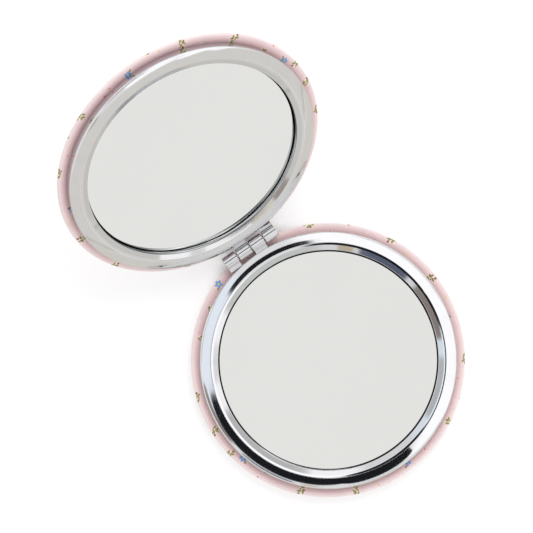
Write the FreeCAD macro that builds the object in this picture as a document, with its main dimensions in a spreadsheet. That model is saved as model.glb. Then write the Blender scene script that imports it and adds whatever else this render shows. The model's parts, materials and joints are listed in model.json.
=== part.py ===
import FreeCAD, Part
import math
import os
import re

import Sketcher

# A round double compact mirror, standing open. Each half is a chrome frame with a mirror glass in front and
# a padded leather cover behind, and one pin through four knuckles joins them. Both halves are drawn alike in a
# local frame: the ring's axis on Z, the parting plane at Z = 0, the mirror facing +Z and the hinge towards +Y.
# A level is a depth below the parting plane. The base is then lifted so that its back lies at Z = 0, and the lid
# is turned over and swung open. Lengths are in millimetres, angles in degrees.

SIZES = {
    "well_radius": 28.0,  # recess that the mirror lies in
    "bevel_width": 1.65,  # frame, from the recess out to the crest
    "band_width": 3.05,  # frame, from the crest out to its outer wall
    "lip_width": 2.2,  # leather lip that stands out past the frame
    "closing_gap": 0.3,  # between the two crests when shut
    "lip_drop": 0.4,  # crest down to the recess's edge
    "rim_drop": 0.4,  # crest down to the outer edge
    "lip_depth": 2.6,  # crest down to the leather lip
    "frame_wall": 0.8,  # wall of the casting
    "band_round": 12.0,  # crown of the band, as a radius
    "rim_fillet": 0.45,  # rounding of the frame's outer edge
    "crest_fillet": 2.4,  # rounding of its crest
    "well_fillet": 0.15,  # rounding of the recess's edge
    "mirror_depth": 1.75,  # crest down to the mirror's face
    "mirror_bevel": 0.25,  # ground edge of the glass
    "glass_clearance": 0.1,  # glass to the recess's wall
    "base_glass": 2.0,
    "base_tape": 0.2,
    "lid_glass": 1.0,
    "lid_tape": 1.2,
    "seat_width": 6.0,  # ledge under the glass
    "seat_thickness": 0.5,
    "tape_margin": 0.5,  # adhesive rings stop short of the ledge's edges
    "bond_thickness": 0.15,  # adhesive between frame and shell
    "shell_floor": 0.5,
    "fit_clearance": 0.1,  # shell and magnet in the frame's channel
    "foam_thickness": 0.5,
    "leather_thickness": 0.6,
    "rim_round": 0.35,  # rounding of the leather lip
    "side_slope": 40.0,  # angle of the cover's side to its flat back
    "back_round": 1.5,  # rounding between the two
    "magnet_length": 6.0,
    "magnet_width": 2.0,
    "magnet_height": 1.5,
    "pin_radius": 0.6,
    "pin_recess": 0.2,  # pin's ends inside the outer knuckles
    "pin_bevel": 0.12,
    "running_clearance": 0.03,  # pin in the lid's knuckles
    "knuckle_wall": 1.0,
    "knuckle_width": 3.65,
    "knuckle_gap": 0.35,
    "knuckle_bevel": 0.15,
    "barrel_clearance": 0.6,  # knuckles to the frame's outer wall
    "lip_clearance": 0.1,  # hinge axis outside the leather lip
    "arm_drop": 0.3,  # parting plane down to the knuckle's arm
    "arm_height": 1.0,
    "opening": 135.0,  # angle between the two mirrors
}
KNUCKLES = 4
HALF_TURN = 180

# Radii and distances from the ring's axis.
CREST_RADIUS = "(well_radius + bevel_width)"
FRAME_RADIUS = f"({CREST_RADIUS} + band_width)"
COVER_RADIUS = f"({FRAME_RADIUS} + lip_width)"
SEAT_RADIUS = "(well_radius - seat_width)"
GLASS_RADIUS = "(well_radius - glass_clearance)"
CHANNEL_INNER = "(well_radius + frame_wall)"
CHANNEL_OUTER = f"({FRAME_RADIUS} - frame_wall)"
BORE_RADIUS = {"base": "pin_radius", "lid": "(pin_radius + running_clearance)"}
BARREL_RADIUS = f"({BORE_RADIUS['lid']} + knuckle_wall)"
HINGE_OFFSET = (
    f"max({COVER_RADIUS} + lip_clearance; {FRAME_RADIUS} + {BARREL_RADIUS} + barrel_clearance)"
)
SIDE_OUT = "sin(side_slope * 1deg)"
SIDE_BACK = "cos(side_slope * 1deg)"
KNUCKLE_PITCH = "(knuckle_width + knuckle_gap)"
HINGE_LENGTH = f"({KNUCKLES} * {KNUCKLE_PITCH} - knuckle_gap)"

# Levels that both halves share.
CREST = "(closing_gap / 2)"
FACE = f"({CREST} + mirror_depth)"
CEILING = f"({CREST} + rim_drop + frame_wall)"
TONGUE = f"({CEILING} + magnet_height + fit_clearance)"
LIP_FRONT = f"({CREST} + lip_depth)"
LIP_BACK = f"({LIP_FRONT} + leather_thickness)"


class Half:
    """The levels of one half's layers, front to back, and the corners of its cover's sloped side."""

    def __init__(self, name):
        self.name = name
        self.glass_back = f"({FACE} + {name}_glass)"
        self.seat = f"({self.glass_back} + {name}_tape)"
        self.frame_back = f"({self.seat} + seat_thickness)"
        self.bond_back = f"({self.frame_back} + bond_thickness)"
        self.shell_back = f"({self.bond_back} + shell_floor)"
        self.foam_back = f"({self.shell_back} + foam_thickness)"
        self.back = f"({self.foam_back} + leather_thickness)"
        # A point of the side has radius * SIDE_OUT + level * SIDE_BACK = reach. The rounding of the lip touches
        # the side at the rim, and the rounding of the flat back touches it at the foot.
        rim_centre = f"({COVER_RADIUS} - rim_round) * {SIDE_OUT} + ({LIP_FRONT} + rim_round) * {SIDE_BACK}"
        self.reach = f"({rim_centre} + rim_round)"
        self.round_level = f"({self.back} - back_round)"
        self.back_radius = (
            f"(({self.reach} - back_round - {self.round_level} * {SIDE_BACK}) / {SIDE_OUT})"
        )
        self.inner_round = "(back_round - leather_thickness)"
        self.rim = (
            f"({COVER_RADIUS} - rim_round + rim_round * {SIDE_OUT})",
            f"({LIP_FRONT} + rim_round + rim_round * {SIDE_BACK})",
        )
        self.foot = self.round_point("back_round")
        self.inner_foot = self.round_point(self.inner_round)

    def round_point(self, radius):
        """Where the side leaves a rounding of this radius at the edge of the flat back."""
        return (
            f"({self.back_radius} + {radius} * {SIDE_OUT})",
            f"({self.round_level} + {radius} * {SIDE_BACK})",
        )

    def inner_side(self, level):
        """Radius of the leather's inner side at a level."""
        return f"(({self.reach} - leather_thickness - {level} * {SIDE_BACK}) / {SIDE_OUT})"


def bound(formula):
    """The formula as an expression on the sheet."""
    return re.sub(r"[a-z_]+", lambda word: f"sizes.{word[0]}" if word[0] in SIZES else word[0], formula)


def make_sheet(doc):
    """Spreadsheet with one named cell for each driving size."""
    sheet = doc.addObject("Spreadsheet::Sheet", "sizes")
    for row, (alias, value) in enumerate(SIZES.items(), start=1):
        sheet.set(f"A{row}", alias)
        sheet.set(f"B{row}", str(value))
        sheet.setAlias(f"B{row}", alias)
    doc.recompute()


def new_sketch(body, name, role):
    """Sketch on one of the body's own origin planes."""
    sketch = body.newObject("Sketcher::SketchObject", name)
    plane = next(f for f in body.Origin.OriginFeatures if f.Role == role)
    sketch.AttachmentSupport = [(plane, "")]
    sketch.MapMode = "FlatFace"
    return sketch


def arc_between(start, end, radius, turn):
    """Arc of less than a half circle, with its centre left of the way from start to end for a turn of 1."""
    chord = end - start
    left = FreeCAD.Vector(-chord.y, chord.x, 0).normalize()
    height = math.sqrt(radius**2 - (chord.Length / 2) ** 2)
    centre = start + chord / 2 + left * (turn * height)
    first, last = (start, end) if turn > 0 else (end, start)
    angles = [math.atan2(p.y - centre.y, p.x - centre.x) for p in (first, last)]
    circle = Part.Circle(centre, FreeCAD.Vector(0, 0, 1), radius)
    return Part.ArcOfCircle(circle, angles[0], angles[1])


def drive(sketch, name, formula, kind, *points):
    """Dimension of the sketch that follows a formula."""
    value = float(sketch.evalExpression(bound(formula)))
    index = sketch.addConstraint(Sketcher.Constraint(kind, *points, value))
    sketch.renameConstraint(index, name)
    sketch.setExpression(f"Constraints.{name}", bound(formula))


def outline(sketch, corners):
    """Closed outline through corners (x, y) or (x, y, radius, turn); a radius bends the edge that follows."""
    places = [
        FreeCAD.Vector(*(float(sketch.evalExpression(bound(f))) for f in corner[:2]), 0) for corner in corners
    ]
    ends = []
    for i, corner in enumerate(corners):
        start, end = places[i], places[(i + 1) % len(corners)]
        bend = corner[2:]
        if not bend:
            edge = sketch.addGeometry(Part.LineSegment(start, end))
            ends.append((edge, 1, 2))
            continue
        radius = float(sketch.evalExpression(bound(bend[0])))
        edge = sketch.addGeometry(arc_between(start, end, radius, bend[1]))
        ends.append((edge, 1, 2) if bend[1] > 0 else (edge, 2, 1))
    for i, (edge, _, last) in enumerate(ends):
        following, first, _ = ends[(i + 1) % len(ends)]
        sketch.addConstraint(Sketcher.Constraint("Coincident", edge, last, following, first))
    for i, (corner, (edge, first, _)) in enumerate(zip(corners, ends)):
        drive(sketch, f"corner{i}_x", corner[0], "DistanceX", -1, 1, edge, first)
        drive(sketch, f"corner{i}_y", corner[1], "DistanceY", -1, 1, edge, first)
        if corner[2:]:
            drive(sketch, f"corner{i}_bend", corner[2], "Radius", edge)


def revolve(body, sketch, axis, name):
    """Full turn of a sketch about one of its own axes."""
    turned = body.newObject("PartDesign::Revolution", name)
    turned.Profile = sketch
    turned.ReferenceAxis = (sketch, [axis])
    turned.Angle = 360
    return turned


def ring_solid(doc, label, corners):
    """Body turned about the ring's axis, from corners of (radius, level)."""
    body = doc.addObject("PartDesign::Body", label)
    body.Label = label
    sketch = new_sketch(body, f"{label}_profile", "XZ_Plane")
    outline(sketch, [(corner[0], f"-{corner[1]}", *corner[2:]) for corner in corners])
    revolve(body, sketch, "V_Axis", f"{label}_turned")
    doc.recompute()
    return body


def washer(doc, label, inner, outer, front, back):
    """Flat ring between two radii and two levels."""
    return ring_solid(doc, label, [(inner, back), (outer, back), (outer, front), (inner, front)])


def round_ring_edge(doc, body, name, radius, level, fillet):
    """Fillet on the round edge at a radius and a level."""
    before = body.Tip
    wanted_radius = float(before.evalExpression(bound(radius)))
    wanted_height = -float(before.evalExpression(bound(level)))
    edges = [
        f"Edge{i}"
        for i, edge in enumerate(before.Shape.Edges, start=1)
        if isinstance(edge.Curve, Part.Circle)
        and math.isclose(edge.Curve.Radius, wanted_radius, abs_tol=1e-4)
        and math.isclose(edge.Curve.Center.z, wanted_height, abs_tol=1e-4)
    ]
    rounded = body.newObject("PartDesign::Fillet", name)
    rounded.Base = (before, edges)
    rounded.setExpression("Radius", bound(fillet))
    doc.recompute()


def hinge_sketch(body, name):
    """Sketch whose own X axis lies on the hinge's axis."""
    sketch = new_sketch(body, name, "XY_Plane")
    sketch.setExpression("AttachmentOffset.Base.y", bound(HINGE_OFFSET))
    return sketch


def spindle(body, name, inner, outer, start, end, bevel):
    """Turned piece on the hinge's axis, between two radii and two ends, with bevelled outer edges."""
    sketch = hinge_sketch(body, f"{name}_profile")
    corners = [
        (start, inner),
        (end, inner),
        (end, f"{outer} - {bevel}"),
        (f"{end} - {bevel}", outer),
        (f"{start} + {bevel}", outer),
        (start, f"{outer} - {bevel}"),
    ]
    outline(sketch, corners)
    return revolve(body, sketch, "H_Axis", name)


def add_knuckle(doc, body, half, slot):
    """Barrel round the pin in one of the hinge's slots, and the arm that joins it to the frame's wall."""
    start = f"({slot} * {KNUCKLE_PITCH} - {HINGE_LENGTH} / 2)"
    end = f"({start} + knuckle_width)"
    name = f"{half.name}_knuckle{slot}"
    spindle(body, name, BORE_RADIUS[half.name], BARREL_RADIUS, start, end, "knuckle_bevel")
    arm = new_sketch(body, f"{name}_arm_profile", "YZ_Plane")
    arm.setExpression("AttachmentOffset.Base.z", bound(f"{start} + knuckle_bevel"))
    root = f"({FRAME_RADIUS} - frame_wall / 2)"
    tip = f"({HINGE_OFFSET} - {BORE_RADIUS['lid']} - knuckle_wall / 4)"
    top = "-arm_drop"
    bottom = "-(arm_drop + arm_height)"
    outline(arm, [(root, bottom), (tip, bottom), (tip, top), (root, top)])
    pad = body.newObject("PartDesign::Pad", f"{name}_arm")
    pad.Profile = arm
    pad.setExpression("Length", bound("knuckle_width - 2 * knuckle_bevel"))
    doc.recompute()


def make_frame(doc, half):
    """Chrome casting: channel-section ring with a ledge for the glass, and every other hinge knuckle."""
    lip_edge = f"({CREST} + lip_drop)"
    rim_edge = f"({CREST} + rim_drop)"
    corners = [
        ("well_radius", lip_edge),
        ("well_radius", half.seat),
        (SEAT_RADIUS, half.seat),
        (SEAT_RADIUS, half.frame_back),
        (CHANNEL_INNER, half.frame_back),
        (CHANNEL_INNER, CEILING),
        (CHANNEL_OUTER, CEILING),
        (CHANNEL_OUTER, LIP_FRONT),
        (FRAME_RADIUS, LIP_FRONT),
        (FRAME_RADIUS, rim_edge, "band_round", 1),
        (CREST_RADIUS, CREST),
    ]
    label = f"{half.name}_frame"
    body = ring_solid(doc, label, corners)
    round_ring_edge(doc, body, f"{label}_rim", FRAME_RADIUS, rim_edge, "rim_fillet")
    round_ring_edge(doc, body, f"{label}_crest", CREST_RADIUS, CREST, "crest_fillet")
    round_ring_edge(doc, body, f"{label}_well", "well_radius", lip_edge, "well_fillet")
    for slot in range(0, KNUCKLES, 2):
        add_knuckle(doc, body, half, slot)
    return body


def make_mirror(doc, half):
    """Mirror glass with a ground edge."""
    corners = [
        ("0", half.glass_back),
        (GLASS_RADIUS, half.glass_back),
        (GLASS_RADIUS, f"({FACE} + mirror_bevel)"),
        (f"({GLASS_RADIUS} - mirror_bevel)", FACE),
        ("0", FACE),
    ]
    return ring_solid(doc, f"{half.name}_mirror", corners)


def make_mirror_tape(doc, half):
    """Adhesive ring between the glass and the frame's ledge."""
    inner = f"({SEAT_RADIUS} + tape_margin)"
    outer = "(well_radius - tape_margin)"
    return washer(doc, f"{half.name}_mirror_tape", inner, outer, half.glass_back, half.seat)


def make_bond_ring(doc, half):
    """Adhesive ring between the frame's back and the shell's floor."""
    inner = f"({SEAT_RADIUS} + tape_margin)"
    outer = f"({CHANNEL_INNER} - tape_margin)"
    return washer(doc, f"{half.name}_bond_ring", inner, outer, half.frame_back, half.bond_back)


def make_shell(doc, half):
    """Moulded dish under the leather, with a tongue that plugs into the frame's channel."""
    tongue_outer = f"({CHANNEL_OUTER} - fit_clearance)"
    tongue_inner = f"({CHANNEL_INNER} + fit_clearance)"
    corners = [
        ("0", half.shell_back),
        (half.inner_side(half.shell_back), half.shell_back),
        (half.inner_side(LIP_BACK), LIP_BACK),
        (tongue_outer, LIP_BACK),
        (tongue_outer, TONGUE),
        (tongue_inner, TONGUE),
        (tongue_inner, half.bond_back),
        ("0", half.bond_back),
    ]
    return ring_solid(doc, f"{half.name}_shell", corners)


def make_foam(doc, half):
    """Padding between the shell's back and the leather."""
    corners = [
        ("0", half.foam_back),
        (half.back_radius, half.foam_back, half.inner_round, 1),
        half.inner_foot,
        (half.inner_side(half.shell_back), half.shell_back),
        ("0", half.shell_back),
    ]
    return ring_solid(doc, f"{half.name}_foam", corners)


def make_leather(doc, half):
    """Leather cover: flat back, sloped side and a lip turned in under the frame's outer wall."""
    corners = [
        ("0", half.back),
        (half.back_radius, half.back, "back_round", 1),
        half.foot,
        (*half.rim, "rim_round", 1),
        (f"({COVER_RADIUS} - rim_round)", LIP_FRONT),
        (CHANNEL_OUTER, LIP_FRONT),
        (CHANNEL_OUTER, LIP_BACK),
        (half.inner_side(LIP_BACK), LIP_BACK),
        (*half.inner_foot, half.inner_round, -1),
        (half.back_radius, half.foam_back),
        ("0", half.foam_back),
    ]
    return ring_solid(doc, f"{half.name}_leather", corners)


def make_magnet(doc, half):
    """Bar magnet under the channel's ceiling, on the side away from the hinge."""
    label = f"{half.name}_magnet"
    body = doc.addObject("PartDesign::Body", label)
    body.Label = label
    sketch = new_sketch(body, f"{label}_profile", "XY_Plane")
    sketch.setExpression("AttachmentOffset.Base.z", bound(f"-({CEILING} + magnet_height)"))
    near = f"-({CHANNEL_INNER} + fit_clearance)"
    far = f"-({CHANNEL_INNER} + fit_clearance + magnet_width)"
    left, right = "-magnet_length / 2", "magnet_length / 2"
    outline(sketch, [(left, far), (right, far), (right, near), (left, near)])
    pad = body.newObject("PartDesign::Pad", f"{label}_bar")
    pad.Profile = sketch
    pad.setExpression("Length", bound("magnet_height"))
    return body


def make_pin(doc):
    """Hinge pin, a little shorter than the row of knuckles."""
    body = doc.addObject("PartDesign::Body", "hinge_pin")
    body.Label = "hinge_pin"
    start = f"(pin_recess - {HINGE_LENGTH} / 2)"
    end = f"({HINGE_LENGTH} / 2 - pin_recess)"
    spindle(body, "hinge_pin_bar", "0", "pin_radius", start, end, "pin_bevel")
    return body


def make_half(doc, name):
    """All the pieces of one half, in its local frame."""
    half = Half(name)
    makers = (
        make_frame,
        make_mirror,
        make_mirror_tape,
        make_bond_ring,
        make_shell,
        make_foam,
        make_leather,
        make_magnet,
    )
    return half, [maker(doc, half) for maker in makers]


def place(pieces, expression):
    for piece in pieces:
        piece.setExpression("Placement", expression)


def main():
    doc = FreeCAD.newDocument("compact_mirror")
    make_sheet(doc)
    base, base_pieces = make_half(doc, "base")
    base_pieces.append(make_pin(doc))
    _, lid_pieces = make_half(doc, "lid")

    # The lid is the base's likeness, turned half round and then raised about the hinge.
    upright = "rotation(vector(0; 0; 1); 0)"
    place(base_pieces, bound(f"placement(vector(0; 0; {base.back}); {upright})"))
    raised = f"({HALF_TURN} - opening)"
    lid_y = f"{HINGE_OFFSET} * (1 + cos({raised} * 1deg))"
    lid_z = f"{base.back} + {HINGE_OFFSET} * sin({raised} * 1deg)"
    turned_over = f"create(<<rotation>>; {HALF_TURN}; 0; -{raised})"
    place(lid_pieces, bound(f"placement(vector(0; {lid_y}; {lid_z}); {turned_over})"))
    doc.recompute()

    for item in doc.Objects:
        if "Invalid" in item.State or "Error" in item.State:
            raise RuntimeError(f"{item.Label} failed: {item.State}")
    pieces = base_pieces + lid_pieces
    for piece in pieces:
        if piece.Shape.isNull() or not piece.Shape.isValid() or len(piece.Shape.Solids) != 1:
            raise RuntimeError(f"{piece.Label} is not one sound solid")
    os.makedirs("parts", exist_ok=True)
    for piece in pieces:
        piece.Shape.exportStep(f"parts/{piece.Label}.step")


main()
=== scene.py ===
import json
import math
from collections import namedtuple

import bpy
import numpy as np
from mathutils import Euler, Matrix, Vector


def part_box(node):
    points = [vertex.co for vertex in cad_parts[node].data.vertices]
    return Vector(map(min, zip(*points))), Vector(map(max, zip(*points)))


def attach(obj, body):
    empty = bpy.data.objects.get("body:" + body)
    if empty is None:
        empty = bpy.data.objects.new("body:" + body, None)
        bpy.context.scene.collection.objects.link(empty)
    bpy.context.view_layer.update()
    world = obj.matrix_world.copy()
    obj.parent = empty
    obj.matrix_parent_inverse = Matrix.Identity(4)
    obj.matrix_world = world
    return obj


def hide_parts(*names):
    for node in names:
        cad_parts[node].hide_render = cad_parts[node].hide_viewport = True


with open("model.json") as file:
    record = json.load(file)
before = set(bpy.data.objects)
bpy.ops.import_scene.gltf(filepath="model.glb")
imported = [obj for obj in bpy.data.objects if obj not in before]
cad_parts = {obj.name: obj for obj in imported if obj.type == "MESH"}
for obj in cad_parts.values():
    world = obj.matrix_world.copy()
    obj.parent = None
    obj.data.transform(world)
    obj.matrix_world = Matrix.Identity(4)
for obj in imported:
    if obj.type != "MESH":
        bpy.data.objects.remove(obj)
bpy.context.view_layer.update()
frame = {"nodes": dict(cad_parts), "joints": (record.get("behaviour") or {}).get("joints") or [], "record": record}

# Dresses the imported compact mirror. The covers and their padding are new surfaces in place of the plain soft
# solids. The frames, mirrors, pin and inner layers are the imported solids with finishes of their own. Lengths
# are in metres. A half's own frame is the base's: the ring's axis on Z, the middle of the flat back at the
# origin and the hinge towards +Y.

bl_info = {
    "name": "Compact mirror finishes",
    "version": (1, 0, 0),
    "blender": (4, 5, 0),
    "location": "3D View > Sidebar > Compact",
    "description": "Padded printed covers, chrome frames, mirrors and a studio stage for the packed compact",
    "category": "Object",
}

HALVES = ("base", "lid")
JOINT = frame["joints"][0]
HINGE = Vector(JOINT["pos_m"])
OPENING = math.radians(-JOINT["range_deg"][0])
COVER_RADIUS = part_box("base_leather")[1].x
LIP_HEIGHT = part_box("base_leather")[1].z
FRAME_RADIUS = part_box("base_frame")[1].x
GLASS_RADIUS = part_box("base_mirror")[1].x
GLASS_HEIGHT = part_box("base_mirror")[1].z
PAD_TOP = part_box("base_foam")[1].z
TAU = 2 * math.pi
MM_PER_METRE = 1000.0
WHITE = (1.0, 1.0, 1.0)

# Forms of a frame that its finish follows: the wall round the glass and its height, where the bevel ends just
# inside the crest, and the knuckles' barrel.
WELL_RADIUS = GLASS_RADIUS + 0.0001
RECESS_DEPTH = 0.00135
BEVEL_END = GLASS_RADIUS + 0.0014
BARREL_RADIUS = 0.0018

# Grids of covers and pads: columns round the axis, the first ring round the middle of the back, the side of
# the square that a cover's map fills, and how far a pad stays clear of its neighbours.
COVER_COLUMNS = 480
PAD_COLUMNS = 160
POLE_RING = 0.0004
SHEET_SIZE = 0.16
PAD_CLEARANCE = 0.00002

# A cover's lip: width of its valley, drop to its tucked edge, depth of its front, how far from the frame its
# gathers are deepest and how wide they are, their lowest and highest number, and the seed of their phases.
VALLEY_WIDTH = 0.0004
TUCK_STEP = 0.00003
FRONT_DEPTH = 0.0004
GATHERS_AT = 0.0005
GATHERS_WIDTH = 0.0006
GATHERS_WAVES = (44, 96)
GATHERS_SEED = 5

# Leather: reach of the places beside the fold that are worn pale and carry a painted highlight, and shifts of the
# print and its dots on the sheet.
WEAR_HIGHLIGHT_REACH = 0.0018
PRINT_SHIFT = (0.0009, 0.0056, 0.0)
DOT_SHIFT = (0.0031, 0.0017, 0.0)

# Mirror: middle of its ground edge, a little off the glass's own so that the edge is wider on one side, and how
# far in the edge starts and is full. The edge is partly the glass's dull edge, partly painted shade of the gap.
EDGE_MIDDLE = (0.00006, 0.00008, 0.0)
EDGE_START = 0.00026
EDGE_FULL = 0.00014

# Floor: how far under the part it lies, its scene-linear light in the chrome, the shares of its white that
# are its own light, that are lit and that light the part, the width of a dark slot, and how open to the sky
# the floor is where a slot is black and where it is as bright as the rest.
FLOOR_DROP = 0.00005
FLOOR_IN_CHROME = (0.293, 0.266, 0.20, 1.0)
FLOOR_OWN = 0.55
FLOOR_LIT = 0.5
FLOOR_THROWN = 0.8
SLOT_WIDTH = 0.012
SLOT_OPEN = (0.2, 0.42)

# Points round the black card and rings in it, and the width of the camera's film in millimetres.
CARD_GRID = (96, 16)
FILM_WIDTH = 36

# Cards of the studio, seen only in the chrome's reflections. Angles are in degrees: the heading of a card's
# middle, half its width, and how far from the pole it begins and ends.
Card = namedtuple("Card", "heading half_width low high colour strength soft")
BLACK = (0.12, 0.125, 0.14)
CARDS = (
    Card(-28, 78, 4.0, 60, WHITE, 1.38, 0.3),
    Card(188, 34, 4.0, 40, (0.94, 0.97, 1.0), 1.2, 0.3),
    Card(225, 38, 58, 75, WHITE, 1.4, 0.3),
    Card(55, 70, 64.5, 140, (0.935, 0.925, 0.90), 1, 0.2),
    Card(54, 3.6, 82.0, 88.4, WHITE, 1, 0.15),
    Card(52, 5.6, 57, 64.2, WHITE, 1.38, 0.3),
    Card(44, 3.6, 63.6, 66.4, WHITE, 1.38, 0.3),
    Card(39.5, 2.6, 65.8, 69.0, WHITE, 1.38, 0.4),
    Card(61, 3.5, 57, 62.6, (0.94, 0.92, 0.86), 1.1, 0.4),
    Card(66.5, 2.6, 58, 66.2, (0.72, 0.68, 0.645), 1, 0.7),
    Card(73, 3.0, 60, 69.5, (0.82, 0.80, 0.77), 1, 0.7),
    Card(31, 2.5, 60, 76, (0.34, 0.36, 0.40), 1, 0.7),
    Card(308, 27, 24.2, 27.0, (0.84, 0.84, 0.83), 1, 0.5),
    Card(55, 30, 24.2, 27.0, (0.90, 0.915, 0.89), 1, 0.5),
    Card(194, 16, 24.2, 27.0, (0.82, 0.83, 0.83), 1, 0.6),
    Card(-1, 11, 25.2, 27.0, (0.66, 0.66, 0.66), 1, 0.6),
    Card(98, 4, 23.5, 27.5, (0.86, 0.80, 0.70), 1, 0.3),
    Card(119, 14, 23.5, 27.0, (0.40, 0.43, 0.51), 1, 0.3),
    Card(154, 15, 22.0, 27.5, (0.62, 0.575, 0.55), 1, 0.4),
    Card(-34, 76, 2.7, 4.4, BLACK, 1, 0.5),
    Card(182, 36, 3.2, 9.5, BLACK, 1, 0.4),
    Card(121, 43, 2.7, 22.5, BLACK, 1, 0.25),
    Card(238, 24, 2.7, 16.5, BLACK, 1, 0.25),
)


def length(name, description, value):
    """A length that a user may change."""
    return bpy.props.FloatProperty(
        name=name, description=description, default=value, min=0, unit="LENGTH", precision=5
    )


def turn(name, description, degrees):
    """An angle that a user may change."""
    return bpy.props.FloatProperty(
        name=name, description=description, default=math.radians(degrees), min=0, subtype="ANGLE"
    )


def share(name, description, value):
    """A share from 0 to 1 that a user may change."""
    return bpy.props.FloatProperty(
        name=name, description=description, default=value, min=0, max=1, subtype="FACTOR"
    )


def colour(name, description, value):
    """A colour as it looks on a screen."""
    return bpy.props.FloatVectorProperty(
        name=name, description=description, default=value, min=0, max=1, size=3, subtype="COLOR_GAMMA"
    )


def power(name, description, watts):
    """A lamp's power that a user may change."""
    return bpy.props.FloatProperty(name=name, description=description, default=watts, min=0, unit="POWER")


def triple(name, description, value, subtype):
    """A place or a turn, as three numbers."""
    return bpy.props.FloatVectorProperty(name=name, description=description, default=value, subtype=subtype)


def slot_colour(slot):
    """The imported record's colour for a material slot."""
    return next(m["base_color"] for m in frame["record"]["materials"] if m["slot"] == slot)


class CoverSettings(bpy.types.PropertyGroup):
    """Sizes and colours of the leather covers and their padding."""

    leather_thickness: length("Leather thickness", "Thickness of the leather", 0.0006)
    side_slope: turn("Side slope", "Angle of the cover's side to its flat back", 40)
    back_round: length("Back rounding", "Radius between the side and the flat back", 0.0015)
    tuck: length("Tuck", "Leather hidden under the frame's outer wall", 0.00076)
    lip_round: length("Lip rounding", "Radius of the fold along the lip", 0.00035)
    lip_valley: length("Lip valley", "Dip of the leather beside the frame", 0.00016)
    crown: length("Crown", "Swell of the lid's padded back in the middle", 0.0004)
    pucker: length("Pucker", "Depth of the gathers where the leather turns in", 0.00004)
    print_spacing: length("Print spacing", "Distance between the sprigs of the print", 0.0074)
    grain_size: length("Grain size", "Size of a pebble of the leather's grain", 0.00042)
    leather: colour("Leather", "Ground colour of the leather", slot_colour("printed_leather"))
    # Leather worn pale along the lip's fold, partly wear and partly a painted highlight
    worn_highlight: colour("Rubbed", "Leather worn pale along the lip's fold", (0.98, 0.94, 0.935))
    # Painted shade on the leather beside the frame, where it turns in
    tucked: colour("Tucked", "Leather beside the frame, where it turns in", (0.87, 0.73, 0.735))
    crease: colour("Crease", "Leather between the pebbles of its grain", (0.62, 0.42, 0.42))
    leaf: colour("Leaf", "Leaves of the print", (0.53, 0.55, 0.27))
    berry: colour("Berry", "Berries of the print", (0.55, 0.24, 0.16))
    halo: colour("Halo", "Pale ground round a sprig", (0.95, 0.90, 0.80))
    petal: colour("Petal", "Petals of the print", (0.36, 0.60, 0.88))
    heart: colour("Heart", "Hearts of the blossoms", (0.84, 0.84, 0.28))
    dot: colour("Dot", "Dots between the sprigs", (0.93, 0.42, 0.48))


class MetalSettings(bpy.types.PropertyGroup):
    """Colours and wear of the chrome, the mirrors and the pin."""

    chrome: colour("Chrome", "Chrome of both frames", slot_colour("chrome"))
    # Recess and the bright places after it: a painted reflection on the wall round a mirror, dark and bright
    recess: colour("Recess", "Thin plating on the wall round a mirror", (0.24, 0.25, 0.28))
    painted_reflection: colour("Plating", "Bright places on that wall", (0.97, 0.975, 0.98))
    # The outer walls' chrome, dimmed as painted shade that darkens their reflection of the lip
    side: colour("Side", "Chrome of the frames' outer walls, which is polished least", (0.79, 0.79, 0.80))
    mirror: colour("Mirror", "Silver behind the mirror glass", slot_colour("mirror_glass"))
    pin: colour("Pin", "Steel of the hinge pin", slot_colour("pin_steel"))
    haze: share("Haze", "Roughness of the polished chrome", 0.05)
    wear: share("Wear", "How far polishing marks show on the metal", 0.5)
    # Ground edge: partly the glass's dull edge, partly painted shade of the gap round the glass
    ground: colour("Ground edge", "Dull edge of the mirror glass", (0.42, 0.43, 0.43))
    ground_haze: share("Ground haze", "Roughness of that edge", 0.03)


class LayerSettings(bpy.types.PropertyGroup):
    """Colours of the layers between the frames and the covers."""

    shell: colour("Shell", "Moulded shells", slot_colour("shell_plastic"))
    foam: colour("Foam", "Padding under the leather", slot_colour("foam"))
    adhesive: colour("Adhesive", "Tapes and bond rings", slot_colour("adhesive"))
    magnet: colour("Magnet", "Plating of the magnets", slot_colour("magnet"))


class StageSettings(bpy.types.PropertyGroup):
    """Floor, light and camera."""

    floor_size: length("Floor size", "Side of the square floor", 6.0)
    floor: colour("Floor", "Colour of the floor", WHITE)
    sky: bpy.props.FloatProperty(
        name="Sky", description="Strength of the even light from all round", default=0.80, min=0
    )
    lamp: power("Lamp", "Power of the soft lamp", 3.4)
    lamp_place: triple("Lamp place", "Where the soft lamp hangs", (0.45, 0.42, 0.8), "XYZ")
    fill: power("Fill", "Power of the lamp before the raised half", 1.6)
    fill_place: triple("Fill place", "Where that lamp stands", (0.1, -0.85, 0.35), "XYZ")
    lamp_size: length("Lamp size", "Width of both lamps", 0.7)
    camera_place: triple("Camera place", "Where the camera stands", (-0.01851, 0.03059, 0.75705), "XYZ")
    camera_turn: triple("Camera turn", "Turn of the camera", (0.01223, -0.02244, -0.60534), "EULER")
    card_height: length("Card height", "How high the black card hangs over the lying half", 0.0587)
    card_near: length("Card near", "Where the card begins, from the studio's pole", 0.0328)
    card_far: length("Card far", "Where the card ends, from the studio's pole", 0.0563)
    card_heading: turn("Card heading", "Heading of the card's middle in the picture", 66)
    card_spread: turn("Card spread", "Half of the card's width in heading", 19)
    lens: bpy.props.FloatProperty(
        name="Lens", description="Focal length on a 36 mm sensor, in millimetres", default=199.9, min=1
    )


def linear(shown):
    """Screen colour as scene-linear RGBA.

    It is c / 12.92 up to 0.04045, and ((c + 0.055) / 1.055) to the power 2.4 above.
    """
    c = np.array(shown, float)
    c = np.where(c <= 0.04045, c / 12.92, ((c + 0.055) / 1.055) ** 2.4)
    return (*c.tolist(), 1.0)


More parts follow.
